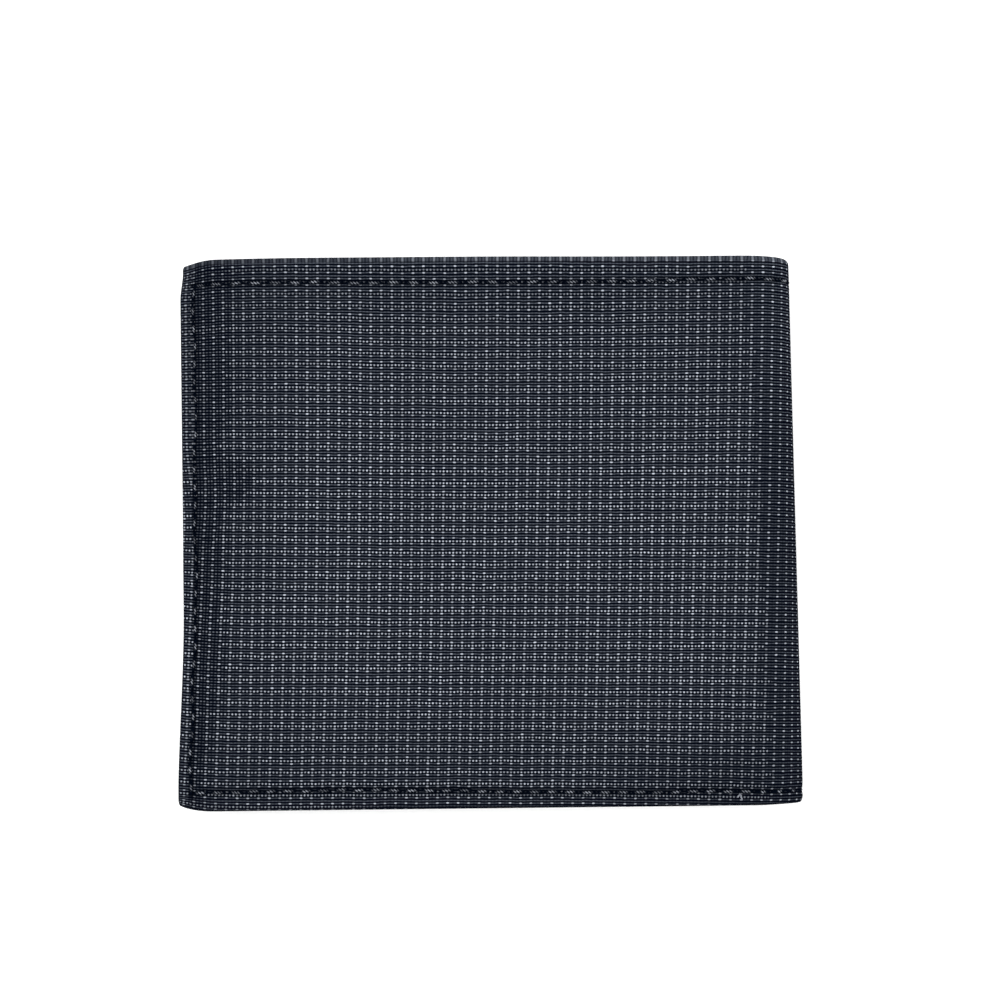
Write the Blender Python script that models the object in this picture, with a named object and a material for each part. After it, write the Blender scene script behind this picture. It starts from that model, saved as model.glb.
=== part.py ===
"""Bifold wallet, closed, lying on its back cover with the fold at +X and the note mouth at +Y.

Two soft covers are joined by a soft fold. Each cover is a stack of cloth layers: the woven shell, a
stiffener, the lining of the note compartment, the wall between notes and cards, a slip pocket and four
stepped card slots.

Every layer is cut flat, as its cloth is, and then wrapped round the closed wallet. The flat pattern has
three directions: u runs along the cloth from the middle of the fold, negative on the back cover and
positive on the front, y runs up the wallet, and d runs from the outer face inwards.
"""

import math

import bmesh
import bpy
from mathutils import Vector

MM = 0.001

# Driving dimensions of the closed wallet.
WIDTH = 110 * MM
HEIGHT = 97 * MM
THICKNESS = 14 * MM
FOLD_REACH = 9 * MM  # how far the flat cover takes to roll into the fold
HALF_GAP = 0.4 * MM  # from the innermost layer of a cover to the plane where the covers meet
SIDE_SLOPE = 7 * MM  # the cover thins towards its side seam over this width
SIDE_PINCH = 2.7 * MM  # and by this much
BOTTOM_SLOPE = 4 * MM
BOTTOM_PINCH = 1.2 * MM
JOIN_GAP = 0.3 * MM  # between the solids of one cloth where it bends

# The roll of the fold is two arcs a side: a wide one from the flat cover to 45 degrees, a tight one on to 90.
SIN_45 = math.sin(math.pi / 4)
SAG_45 = 1 - SIN_45
ARC_SHARE = SIN_45**2 - SAG_45**2
WIDE_RADIUS = (SIN_45 * FOLD_REACH - SAG_45 * THICKNESS / 2) / ARC_SHARE
TIGHT_RADIUS = (SIN_45 * THICKNESS / 2 - SAG_45 * FOLD_REACH) / ARC_SHARE
TIGHT_END = TIGHT_RADIUS * math.pi / 4
ROLL_END = TIGHT_END + WIDE_RADIUS * math.pi / 4
FLAT_END_X = WIDTH / 2 - FOLD_REACH
SIDE_EDGE = ROLL_END + WIDTH - FOLD_REACH  # u of the side seam's edge
LEAF_DEPTH = THICKNESS / 2 - HALF_GAP
TOP = HEIGHT / 2
BOTTOM = -HEIGHT / 2

# The cloth turns 90 degrees about each of two axes, placed so that the flat cloth keeps its length.
LOWER_AXIS = Vector(
    (
        (WIDTH / 2 + FLAT_END_X + ROLL_END - THICKNESS / 2) / 2,
        0,
        (WIDTH / 2 - FLAT_END_X - ROLL_END + THICKNESS / 2) / 2,
    )
)
UPPER_AXIS = Vector((LOWER_AXIS.x, 0, THICKNESS - LOWER_AXIS.z))

# Where each layer lies, as depths from the outer face.
SHELL = (0, 0.8 * MM)
SHELL_HEM = 1.4 * MM  # the shell's edges are turned in, so they are this thick
STIFFENER = (1.1 * MM, 1.5 * MM)
LINING = (1.8 * MM, 2.1 * MM)
INNER_WALL = (2.8 * MM, 3.2 * MM)
INNER_WALL_HEM = 2.4 * MM  # its hem stands out to this depth and closes the note compartment
SLIP_POCKET = (3.5 * MM, 3.8 * MM)
FIRST_SLOT = 4.1 * MM
SLOT_THICKNESS = 0.3 * MM
SLOT_STEP = 0.6 * MM

# Widths of the turned-in edges and insets of the inner layers from the shell's outline.
SIDE_HEM = 6 * MM
BOTTOM_HEM = 5 * MM
TOP_HEM = 8 * MM
STIFFENER_INSET = 1 * MM
LINING_INSET = 1 * MM
LINING_TOP = TOP - 2.5 * MM
INNER_INSET = 0.8 * MM
INNER_WALL_TOP = TOP - 5.5 * MM
POCKET_INSET = 1 * MM
POCKET_END = ROLL_END + 0.5 * MM  # u where the card pockets stop, short of the fold
SLIP_POCKET_TOP = TOP - 8.5 * MM
SLOT_COUNT = 4
FIRST_SLOT_TOP = TOP - 15.5 * MM
SLOT_RISE = 11 * MM  # each card slot stands this much lower than the one behind it
PLAN_CORNER = 2.5 * MM

# Stitching lies in a furrow pressed into the shell.
SIDE_SEAM = SIDE_EDGE - 2 * MM
BOTTOM_SEAM = BOTTOM + 2.9 * MM
TOP_SEAM = TOP - 4 * MM
THREAD_RADIUS = 0.2 * MM
THREAD_DEPTH = 0.25 * MM
FURROW_WIDTH = 1 * MM
FURROW_DEPTH = 0.8 * MM
THREAD_END_GAP = 0.5 * MM

ARC_STEPS = 4  # flat facets to each 45 degrees of the fold
CORNER_STEPS = 3
BEYOND = 5 * MM  # how far a cutter runs past what it cuts
SLICE_TOLERANCE = 1e-7
SHARP_ANGLE = math.radians(25)

COVERS = {"back": -1, "front": 1}
COLLECTION = "bifold_wallet"
CUTTER_COLLECTION = "cutters"


# The wrap from flat cloth to closed wallet.


def outer_profile(s):
    """Place and outward normal, in X and Z, of the back cover's outer face at s from the fold's middle."""
    if s < TIGHT_END:
        centre = (WIDTH / 2 - TIGHT_RADIUS, THICKNESS / 2)
        radius = TIGHT_RADIUS
        angle = s / TIGHT_RADIUS
    elif s < ROLL_END:
        centre = (FLAT_END_X, WIDE_RADIUS)
        radius = WIDE_RADIUS
        angle = math.pi / 4 + (s - TIGHT_END) / WIDE_RADIUS
    else:
        return FLAT_END_X - (s - ROLL_END), 0.0, 0.0, -1.0
    normal_x = math.cos(angle)
    normal_z = -math.sin(angle)
    return centre[0] + radius * normal_x, centre[1] + radius * normal_z, normal_x, normal_z


def seam_pinch(s, y):
    """How far the outer face dips where the layers are sewn together, at the side and along the bottom."""
    side = max(0.0, s - (SIDE_EDGE - SIDE_SLOPE)) / SIDE_SLOPE
    bottom = max(0.0, BOTTOM + BOTTOM_SLOPE - y) / BOTTOM_SLOPE
    return side * SIDE_PINCH + bottom * BOTTOM_PINCH


def wrap(u, y, d):
    """The place in the closed wallet of a point of the flat pattern."""
    pinch = seam_pinch(abs(u), y)
    depth = pinch + d * (1 - pinch / LEAF_DEPTH)
    x, z, normal_x, normal_z = outer_profile(abs(u))
    x -= depth * normal_x
    z -= depth * normal_z
    return Vector((x, y, THICKNESS - z if u > 0 else z))


def bend_lines():
    """The values of u where the wrapped cloth changes direction."""
    tight = [TIGHT_END * i / ARC_STEPS for i in range(ARC_STEPS + 1)]
    wide = [TIGHT_END + (ROLL_END - TIGHT_END) * i / ARC_STEPS for i in range(1, ARC_STEPS + 1)]
    distances = tight + wide + [SIDE_EDGE - SIDE_SLOPE]
    return sorted({sign * s for s in distances for sign in (-1, 1)})


# Flat pieces of the pattern.


def plate_mesh(name, u_range, y_range, d_range, corner=0.0):
    """A flat rectangle of cloth, with the corners that are far from the fold rounded."""
    low, high = (Vector(ends) for ends in zip(sorted(u_range), y_range, d_range))
    bm = bmesh.new()
    bmesh.ops.create_cube(bm, size=1)
    bmesh.ops.scale(bm, vec=high - low, verts=bm.verts)
    bmesh.ops.translate(bm, vec=(low + high) / 2, verts=bm.verts)
    if corner:
        far_u = max(u_range, key=abs)
        far_corners = [
            edge
            for edge in bm.edges
            if all(abs(vert.co.x - far_u) < JOIN_GAP for vert in edge.verts)
            and edge.verts[0].co.z != edge.verts[1].co.z
        ]
        bmesh.ops.bevel(
            bm, geom=far_corners, offset=corner, segments=CORNER_STEPS, profile=0.5, affect="EDGES"
        )
    mesh = bpy.data.meshes.new(name)
    bm.to_mesh(mesh)
    bm.free()
    return mesh


def new_object(name, data, collection=COLLECTION):
    obj = bpy.data.objects.new(name, data)
    bpy.data.collections[collection].objects.link(obj)
    return obj


def new_cutter(mesh):
    cutter = new_object("cutter", mesh, CUTTER_COLLECTION)
    cutter.hide_render = True
    cutter.display_type = "WIRE"
    return cutter


def cut_flat(obj, cutter_meshes):
    """Cuts each of the flat cutters out of the flat piece, for good: the piece is wrapped after this."""
    cutters = [new_cutter(mesh) for mesh in cutter_meshes]
    for cutter in cutters:
        modifier = obj.modifiers.new("cut", "BOOLEAN")
        modifier.operation = "DIFFERENCE"
        modifier.object = cutter
    bpy.context.view_layer.update()
    cut = bpy.data.meshes.new_from_object(obj.evaluated_get(bpy.context.evaluated_depsgraph_get()))
    obj.modifiers.clear()
    obj.data = cut
    for cutter in cutters:
        bpy.data.objects.remove(cutter)


def wrap_object(obj):
    """Slices the flat piece along every bend and moves its points to their places in the closed wallet."""
    bm = bmesh.new()
    bm.from_mesh(obj.data)
    slices = [((u, 0, 0), (1, 0, 0)) for u in bend_lines()]
    slices.append(((0, BOTTOM + BOTTOM_SLOPE, 0), (0, 1, 0)))
    for point, direction in slices:
        geometry = bm.verts[:] + bm.edges[:] + bm.faces[:]
        bmesh.ops.bisect_plane(bm, geom=geometry, plane_co=point, plane_no=direction, dist=SLICE_TOLERANCE)
    for vert in bm.verts:
        vert.co = wrap(*vert.co)
    bm.to_mesh(obj.data)
    bm.free()
    obj.data.set_sharp_from_angle(angle=SHARP_ANGLE)


def layer(name, u_range, y_range, d_range, corner=0.0, cutters=()):
    """One wrapped piece of cloth or board."""
    obj = new_object(name, plate_mesh(name, u_range, y_range, d_range, corner))
    if cutters:
        cut_flat(obj, cutters)
    wrap_object(obj)
    return obj


def thread(name, route):
    """A line of stitching as one thread that follows the route, given in u and y, along its furrow."""
    curve = bpy.data.curves.new(name, "CURVE")
    curve.dimensions = "3D"
    curve.bevel_depth = THREAD_RADIUS
    curve.bevel_resolution = 2
    curve.use_fill_caps = True
    spline = curve.splines.new("POLY")
    spline.points.add(len(route) - 1)
    for point, (u, y) in zip(spline.points, route):
        point.co = (*wrap(u, y, THREAD_DEPTH), 1)
    return new_object(name, curve)


# The layers of a cover and of the fold.


def span(sign, near, far):
    """The u range of a piece of the back or front cover, from near the fold to far from it."""
    return sorted((sign * near, sign * far))


def furrows(u_range, side_sign=0):
    """Cutters for the furrows of the stitching: along the top and bottom, and up the side of a cover."""
    depth = (-BEYOND, FURROW_DEPTH)
    found = [
        plate_mesh("furrow", u_range, (y - FURROW_WIDTH / 2, y + FURROW_WIDTH / 2), depth)
        for y in (BOTTOM_SEAM, TOP_SEAM)
    ]
    if side_sign:
        side = span(side_sign, SIDE_SEAM - FURROW_WIDTH / 2, SIDE_SEAM + FURROW_WIDTH / 2)
        found.append(plate_mesh("furrow", side, (BOTTOM_SEAM, TOP_SEAM), depth))
    return found


def make_shell(side, sign):
    """The woven outer cloth of one cover, its edges turned in to double thickness."""
    thin = span(sign, TIGHT_END - BEYOND, SIDE_EDGE - SIDE_HEM)
    hem_relief = plate_mesh(
        "relief", thin, (BOTTOM + BOTTOM_HEM, TOP - TOP_HEM), (SHELL[1], SHELL_HEM + BEYOND)
    )
    seam = span(sign, TIGHT_END - BEYOND, SIDE_SEAM + FURROW_WIDTH / 2)
    cutters = [hem_relief, *furrows(seam, sign)]
    outline = span(sign, TIGHT_END + JOIN_GAP / 2, SIDE_EDGE)
    return layer(f"shell_{side}", outline, (BOTTOM, TOP), (SHELL[0], SHELL_HEM), PLAN_CORNER, cutters)


def make_inner_wall(side, sign):
    """The wall between notes and cards. Its thick hem closes the note compartment at the side and bottom."""
    thin = span(sign, TIGHT_END - BEYOND, SIDE_EDGE - SIDE_HEM)
    relief_depth = (INNER_WALL_HEM - BEYOND, INNER_WALL[0])
    relief = plate_mesh("relief", thin, (BOTTOM + BOTTOM_HEM, TOP + BEYOND), relief_depth)
    outline = span(sign, TIGHT_END + JOIN_GAP / 2, SIDE_EDGE - INNER_INSET)
    tall = (BOTTOM + INNER_INSET, INNER_WALL_TOP)
    return layer(f"inner_wall_{side}", outline, tall, (INNER_WALL_HEM, INNER_WALL[1]), PLAN_CORNER, [relief])


def make_card_slots(side, sign):
    """The stepped card slots, from the tallest at the back to the shortest, which faces the other cover."""
    slots = []
    for i in range(SLOT_COUNT):
        start = FIRST_SLOT + i * SLOT_STEP
        tall = (BOTTOM + POCKET_INSET, FIRST_SLOT_TOP - i * SLOT_RISE)
        wide = span(sign, POCKET_END, SIDE_EDGE - POCKET_INSET)
        thick = (start, start + SLOT_THICKNESS)
        slots.append(layer(f"card_slot_{side}_{i + 1}", wide, tall, thick, PLAN_CORNER))
    return slots


def make_cover_thread(side, sign):
    """The seam round one cover: along the top, down the side and back along the bottom."""
    near = TIGHT_END + THREAD_END_GAP
    bends = [s for s in bend_lines() if near < s < SIDE_SEAM]
    out = [near, *bends, SIDE_SEAM]
    route = [(sign * s, TOP_SEAM) for s in out]
    route.append((sign * SIDE_SEAM, BOTTOM + BOTTOM_SLOPE))
    route += [(sign * s, BOTTOM_SEAM) for s in reversed(out)]
    return thread(f"thread_{side}", route)


def make_cover(side, sign):
    """Every piece of one cover, from the outside in, as {material name: objects}."""
    stiff_wide = span(sign, ROLL_END + STIFFENER_INSET, SIDE_EDGE - SIDE_HEM - STIFFENER_INSET)
    stiff_tall = (BOTTOM + BOTTOM_HEM + STIFFENER_INSET, TOP - TOP_HEM - STIFFENER_INSET)
    lining_wide = span(sign, TIGHT_END + JOIN_GAP / 2, SIDE_EDGE - LINING_INSET)
    lining_tall = (BOTTOM + LINING_INSET, LINING_TOP)
    slip_wide = span(sign, POCKET_END, SIDE_EDGE - POCKET_INSET)
    slip_tall = (BOTTOM + POCKET_INSET, SLIP_POCKET_TOP)
    return {
        "shell_fabric": [make_shell(side, sign)],
        "stiffener_board": [layer(f"stiffener_{side}", stiff_wide, stiff_tall, STIFFENER, PLAN_CORNER)],
        "lining_fabric": [
            layer(f"note_lining_{side}", lining_wide, lining_tall, LINING, PLAN_CORNER),
            make_inner_wall(side, sign),
        ],
        "pocket_leather": [
            layer(f"slip_pocket_{side}", slip_wide, slip_tall, SLIP_POCKET, PLAN_CORNER),
            *make_card_slots(side, sign),
        ],
        "sewing_thread": [make_cover_thread(side, sign)],
    }


def make_fold():
    """The strip of each continuous layer that bends round the fold, as {material name: objects}."""
    end = TIGHT_END - JOIN_GAP / 2
    strip = (-end, end)
    through = (-end - BEYOND, end + BEYOND)
    shell_relief = plate_mesh(
        "relief", through, (BOTTOM + BOTTOM_HEM, TOP - TOP_HEM), (SHELL[1], SHELL_HEM + BEYOND)
    )
    shell_cutters = [shell_relief, *furrows(through)]
    wall_depth = (INNER_WALL_HEM - BEYOND, INNER_WALL[0])
    wall_relief = plate_mesh("relief", through, (BOTTOM + BOTTOM_HEM, TOP + BEYOND), wall_depth)
    wall_tall = (BOTTOM + INNER_INSET, INNER_WALL_TOP)
    last = TIGHT_END - THREAD_END_GAP
    bends = [u for u in bend_lines() if abs(u) < last]
    route = [-last, *bends, last]
    return {
        "shell_fabric": [
            layer("shell_spine", strip, (BOTTOM, TOP), (SHELL[0], SHELL_HEM), cutters=shell_cutters),
        ],
        "lining_fabric": [
            layer("note_lining_spine", strip, (BOTTOM + LINING_INSET, LINING_TOP), LINING),
            layer("inner_wall_spine", strip, wall_tall, (INNER_WALL_HEM, INNER_WALL[1]), cutters=[wall_relief]),
        ],
        "sewing_thread": [
            thread("thread_spine_top", [(u, TOP_SEAM) for u in route]),
            thread("thread_spine_bottom", [(u, BOTTOM_SEAM) for u in route]),
        ],
    }


# Materials, and the tree that the pieces turn in.

MATERIALS = {
    "shell_fabric": ((0.060, 0.068, 0.082), 0.75),
    "stiffener_board": ((0.33, 0.28, 0.22), 0.9),
    "lining_fabric": ((0.020, 0.023, 0.030), 0.6),
    "pocket_leather": ((0.022, 0.024, 0.028), 0.5),
    "sewing_thread": ((0.012, 0.013, 0.020), 0.55),
}


def make_material(name):
    colour, roughness = MATERIALS[name]
    material = bpy.data.materials.new(name)
    material.use_nodes = True
    shader = material.node_tree.nodes["Principled BSDF"]
    shader.inputs["Base Color"].default_value = (*colour, 1)
    shader.inputs["Roughness"].default_value = roughness
    shader.inputs["Metallic"].default_value = 0
    return material


def make_axis(name, place, parent=None):
    """An empty on a turning axis, which runs along Y."""
    axis = new_object(name, None)
    axis.empty_display_size = THICKNESS
    axis.parent = parent
    axis.location = place - (parent.matrix_world.translation if parent else Vector())
    bpy.context.view_layer.update()
    return axis


def hang(obj, axis):
    """Gives a wrapped piece the axis as its origin and its parent."""
    place = axis.matrix_world.translation
    if obj.type == "CURVE":
        for point in obj.data.splines[0].points:
            point.co = (*(point.co.to_3d() - place), 1)
    else:
        for vert in obj.data.vertices:
            vert.co -= place
    obj.parent = axis


def main():
    for obj in list(bpy.data.objects):
        bpy.data.objects.remove(obj)
    for name in (COLLECTION, CUTTER_COLLECTION):
        bpy.context.scene.collection.children.link(bpy.data.collections.new(name))
    materials = {name: make_material(name) for name in MATERIALS}
    base = make_axis("back_cover_base", Vector())
    lower = make_axis("lower_fold_axis", LOWER_AXIS, base)
    upper = make_axis("upper_fold_axis", UPPER_AXIS, lower)
    groups = [
        (make_cover("back", COVERS["back"]), base),
        (make_fold(), lower),
        (make_cover("front", COVERS["front"]), upper),
    ]
    for pieces, axis in groups:
        for material_name, objects in pieces.items():
            for obj in objects:
                obj.data.materials.append(materials[material_name])
                hang(obj, axis)


main()
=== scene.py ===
"""Looks of the bifold wallet: woven shell, lining, card pockets and stitching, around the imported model.

Every cloth layer is described flat and then wrapped round the closed wallet, as it is sewn. s is the distance
along the cloth from the middle of the fold, y runs up the wallet, and d is the depth from the outer face.
side is -1 on the back cover and 1 on the front cover.
"""

import math

import bpy
import numpy as np
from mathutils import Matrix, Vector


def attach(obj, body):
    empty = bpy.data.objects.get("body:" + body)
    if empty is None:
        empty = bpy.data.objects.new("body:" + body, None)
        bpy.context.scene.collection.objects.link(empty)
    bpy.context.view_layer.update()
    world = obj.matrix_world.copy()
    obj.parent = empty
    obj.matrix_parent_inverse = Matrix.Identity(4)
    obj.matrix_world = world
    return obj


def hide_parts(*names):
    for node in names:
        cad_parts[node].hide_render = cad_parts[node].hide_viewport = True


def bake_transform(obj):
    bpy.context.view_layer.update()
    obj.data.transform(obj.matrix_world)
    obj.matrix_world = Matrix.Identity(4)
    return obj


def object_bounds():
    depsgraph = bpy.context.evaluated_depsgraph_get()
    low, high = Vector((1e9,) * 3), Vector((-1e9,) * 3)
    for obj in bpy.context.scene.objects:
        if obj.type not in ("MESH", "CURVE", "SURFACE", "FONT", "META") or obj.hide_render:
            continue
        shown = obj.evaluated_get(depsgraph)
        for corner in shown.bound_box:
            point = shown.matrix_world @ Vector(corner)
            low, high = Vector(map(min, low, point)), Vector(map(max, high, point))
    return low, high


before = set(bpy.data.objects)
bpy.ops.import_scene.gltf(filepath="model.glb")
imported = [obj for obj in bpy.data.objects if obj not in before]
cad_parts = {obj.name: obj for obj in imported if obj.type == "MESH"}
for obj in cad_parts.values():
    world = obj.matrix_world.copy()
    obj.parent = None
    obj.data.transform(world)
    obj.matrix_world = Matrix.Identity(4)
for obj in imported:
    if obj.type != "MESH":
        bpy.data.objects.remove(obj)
cad_low, cad_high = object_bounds()

MM = 0.001

# The closed wallet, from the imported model.
WIDTH = cad_high.x - cad_low.x
HEIGHT = cad_high.y - cad_low.y
THICKNESS = cad_high.z - cad_low.z
TOP = cad_high.y
BOTTOM = cad_low.y
FOLD_REACH = 9 * MM
LEAF_DEPTH = THICKNESS / 2 - 0.4 * MM

# The roll of the fold: a tight arc to 45 degrees from its middle, then a wide one to the flat cover.
SIN_45 = math.sin(math.pi / 4)
SAG_45 = 1 - SIN_45
ARC_SHARE = SIN_45**2 - SAG_45**2
WIDE_RADIUS = (SIN_45 * FOLD_REACH - SAG_45 * THICKNESS / 2) / ARC_SHARE
TIGHT_RADIUS = (SIN_45 * THICKNESS / 2 - SAG_45 * FOLD_REACH) / ARC_SHARE
TIGHT_END = TIGHT_RADIUS * math.pi / 4
ROLL_END = TIGHT_END + WIDE_RADIUS * math.pi / 4
FLAT_END_X = WIDTH / 2 - FOLD_REACH
SIDE_EDGE = ROLL_END + WIDTH - FOLD_REACH

# How the cloth gives: thinner at its seams, drawn in above the bottom corners, drooping round the fold.
# What is given at a corner reaches over a width and a height, in that order.
BOTTOM_PINCH = 1.1 * MM
BOTTOM_SLOPE = 5 * MM
FOLD_TAPER = 1.6 * MM
FOLD_TAPER_WIDTH = 7 * MM
SIDE_TAPER = 1.3 * MM
SIDE_TAPER_HEIGHT = 36 * MM
SIDE_TAPER_WIDTH = 9 * MM
FOLD_DROOP = 0.9 * MM
FOLD_DROOP_WIDTH = 6.8 * MM
FOLD_DROOP_HEIGHT = 45 * MM
FOLD_LIFT = 0.35 * MM
FOLD_LIFT_WIDTH = 13 * MM
FOLD_LIFT_HEIGHT = 14 * MM
TOP_RISE = 0.4 * MM
TOP_RISE_AT = SIDE_EDGE - 18 * MM
TOP_RISE_WIDTH = 22 * MM
TOP_CROWN = 0.33 * MM
TOP_CROWN_AT = 62 * MM
TOP_CROWN_WIDTH = 25 * MM
TOP_CROWN_HEIGHT = 4 * MM
CORNER_CUT = 1.0 * MM
TOP_CORNER = (7 * MM, 6 * MM)
BOTTOM_CORNER = (6 * MM, 3 * MM)
CORNER_PULL = 0.5 * MM
CORNER_PULL_SIZE = (5 * MM, 6 * MM)
SLOPE_STRETCH = 0.055
SEAM_DRAW = 0.995

# Depths of the layers, outer face and inner face.
SHELL = (0, 1.4 * MM)
SHELL_THIN = 0.8 * MM
LINING = (1.8 * MM, 2.1 * MM)
INNER_WALL = (2.4 * MM, 3.2 * MM)
INNER_WALL_THIN = 2.8 * MM
SLIP_POCKET = (3.5 * MM, 3.8 * MM)
FIRST_SLOT = 4.1 * MM
SLOT_THICKNESS = 0.3 * MM
SLOT_STEP = 0.6 * MM
SLOT_COUNT = 4
SEWN_GAIN = 0.25 * MM

# Outlines of the layers and widths of their turned edges.
SIDE_HEM = 6 * MM
BOTTOM_HEM = 5 * MM
TOP_HEM = 8 * MM
HEM_STEP = 0.5 * MM
LINING_INSET = 1 * MM
LINING_TOP = TOP - 2.5 * MM
INNER_INSET = 0.8 * MM
INNER_WALL_TOP = TOP - 5.5 * MM
POCKET_INSET = 1 * MM
POCKET_END = ROLL_END + 0.5 * MM
SLIP_POCKET_TOP = TOP - 8.5 * MM
FIRST_SLOT_TOP = TOP - 15.5 * MM
SLOT_RISE = 11 * MM

COVER_MIDDLE = (ROLL_END + SIDE_EDGE) / 2

# Seams.
SIDE_SEAM = SIDE_EDGE - 2.45 * MM
BOTTOM_SEAM = BOTTOM + 2.7 * MM
TOP_SEAM = TOP - 4.3 * MM
TOP_PITCH = 3.47 * MM
SEAM_PITCH = 3.1 * MM
FURROW_WIDTH = 0.6 * MM
FURROW_DEPTH = 0.28 * MM
HOLE_DEPTH = 0.3 * MM
PUCKER = 0.06 * MM

# The loose thread end at the bottom seam: s and height over the bottom edge of its points, and how far its
# lengths overlap, in millimetres. Its width and depth are shares of a stitch's.
LOOSE_END = ((15.4, 1.5), (14.9, 2.1), (14.55, 1.0))
LOOSE_LAP = 0.1
LOOSE_WIDTH = 0.45
LOOSE_DEPTH = 0.4

# The line pressed into each inner layer below its top edge.
CREASE_INSET = 1.4 * MM
CREASE_WIDTH = 0.2 * MM
CREASE_DEPTH = 0.1 * MM

# The shell's weave: every third warp thread is a column of dashes, and four picks are one repeat. WARP and
# PICK are the spacings of the threads, and the phases, in threads, say where the pattern starts.
WARP = 0.6156 * MM
PICK = 0.5119 * MM
COLUMN_WARPS = 3
REPEAT_PICKS = 4
WARP_PHASE = 0.39
PICK_PHASE = 2.13

# The camera straight above, in metres, and how much it is turned; the width that it sees at the wallet's top.
CAMERA_AT = (2.1 * MM, 5.85 * MM, 1.1)
CAMERA_TURN = math.radians(-0.65)
VIEW_WIDTH = 0.1753
SENSOR_WIDTH = 36

COVERS = {"back": -1, "front": 1}
RNG = np.random.default_rng(7)


# The wrap from flat cloth to closed wallet.


def smooth(t):
    """0 up to t = 0, 1 from t = 1, smooth between."""
    t = np.clip(t, 0, 1)
    return t * t * (3 - 2 * t)


def hill(x, middle, width):
    """A bell curve: 1 at the middle, falling to 1 / e at the width on either side."""
    return np.exp(-(((x - middle) / width) ** 2))


def near_edge(distance, reach):
    """1 at an edge, falling evenly to 0 at the reach."""
    return np.clip(1 - distance / reach, 0, 1)


def outer_profile(s):
    """X, Z and outward normal of the back cover's outer face at each s."""
    tight = s < TIGHT_END
    rolled = s < ROLL_END
    angle = np.where(tight, s / TIGHT_RADIUS, math.pi / 4 + (s - TIGHT_END) / WIDE_RADIUS)
    angle = np.where(rolled, angle, math.pi / 2)
    radius = np.where(tight, TIGHT_RADIUS, WIDE_RADIUS)
    centre_x = np.where(tight, WIDTH / 2 - TIGHT_RADIUS, FLAT_END_X)
    centre_z = np.where(tight, THICKNESS / 2, WIDE_RADIUS)
    normal_x = np.cos(angle)
    normal_z = -np.sin(angle)
    x = centre_x + radius * normal_x - np.where(rolled, 0, s - ROLL_END)
    return x, centre_z + radius * normal_z, normal_x, normal_z


def slope_width(y):
    """How wide the cover slopes down to its side edge: narrow at the bottom, widening in two steps."""
    first = 2.8 * MM * smooth((y + 47 * MM) / (15 * MM))
    second = 3.0 * MM * smooth((y + 8 * MM) / (12 * MM))
    return 3.0 * MM + first + second


def pinch_at(s, y):
    """How far the outer face dips towards its side and bottom seams."""
    slope = slope_width(y)
    side = near_edge(SIDE_EDGE - s, slope)
    bottom = near_edge(y - BOTTOM, BOTTOM_SLOPE)
    return 0.3 * slope * side**1.25 + BOTTOM_PINCH * bottom**1.5 * smooth(s / ROLL_END)


def drawn_in(s, y):
    """How far the side edge is cut in above the bottom corner."""
    near_side = smooth((s - SIDE_EDGE) / SIDE_TAPER_WIDTH + 1)
    return SIDE_TAPER * smooth((y - BOTTOM) / SIDE_TAPER_HEIGHT) * near_side


def place(side, s, y, d):
    """Where points of the flat cloth are in the closed wallet, as an array of rows of X, Y and Z."""
    s, y, d = np.broadcast_arrays(s, y, d)
    pinch = pinch_at(s, y)
    depth = pinch + d * (1 - pinch / LEAF_DEPTH)
    x, z, normal_x, normal_z = outer_profile(s)
    x = x - depth * normal_x
    z = z - depth * normal_z
    share_up = (y - BOTTOM) / HEIGHT
    x = x - FOLD_TAPER * share_up * (1 - smooth(s / FOLD_TAPER_WIDTH))
    x = x + drawn_in(s, y)
    pull_width, pull_height = CORNER_PULL_SIZE
    x = x + CORNER_PULL * smooth((s - SIDE_EDGE) / pull_width + 1) * smooth((y - TOP) / pull_height + 1.2)
    droop = hill(s, 0, FOLD_DROOP_WIDTH) * np.exp((y - TOP) / FOLD_DROOP_HEIGHT)
    lift = (1 - smooth(s / FOLD_LIFT_WIDTH)) * np.exp((BOTTOM - y) / FOLD_LIFT_HEIGHT)
    rise = TOP_RISE * share_up * hill(s, TOP_RISE_AT, TOP_RISE_WIDTH)
    crown = smooth((y - TOP) / TOP_CROWN_HEIGHT + 1) * hill(s, TOP_CROWN_AT, TOP_CROWN_WIDTH)
    rise = rise + TOP_CROWN * crown
    top_corner = near_edge(SIDE_EDGE - s, TOP_CORNER[0]) ** 1.5 * near_edge(TOP - y, TOP_CORNER[1])
    bottom_corner = near_edge(SIDE_EDGE - s, BOTTOM_CORNER[0]) ** 2 * near_edge(y - BOTTOM, BOTTOM_CORNER[1])
    y = SEAM_DRAW * y - FOLD_DROOP * droop + FOLD_LIFT * lift + rise
    y = y - CORNER_CUT * (top_corner - bottom_corner)
    z = np.where(side > 0, THICKNESS - z, z)
    return np.stack([x, y, z], axis=-1)


# Cloth layers.


def graded(*stretches):
    """Grid lines over the stretches, each given as start, end and spacing."""
    lines = []
    for start, end, step in stretches:
        count = max(1, round(abs(end - start) / step))
        lines.extend(np.linspace(start, end, count + 1)[:-1])
    lines.append(stretches[-1][1])
    return np.array(lines)


def rim_lines(edge, inner, count):
    """Grid lines round a rolled edge, from where it starts to roll to the edge itself."""
    angles = np.linspace(0, math.pi / 2, count + 1)
    return inner + (edge - inner) * np.sin(angles)


def rolled(lines, low, high, low_rim, high_rim):
    """How far each grid line is into the roll of its nearest edge, from 0 to 1, with that edge's sign."""
    into_low = np.clip(1 - (lines - low) / low_rim, 0, 1) if low_rim else np.zeros_like(lines)
    into_high = np.clip(1 - (high - lines) / high_rim, 0, 1) if high_rim else np.zeros_like(lines)
    return into_high - into_low


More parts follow.
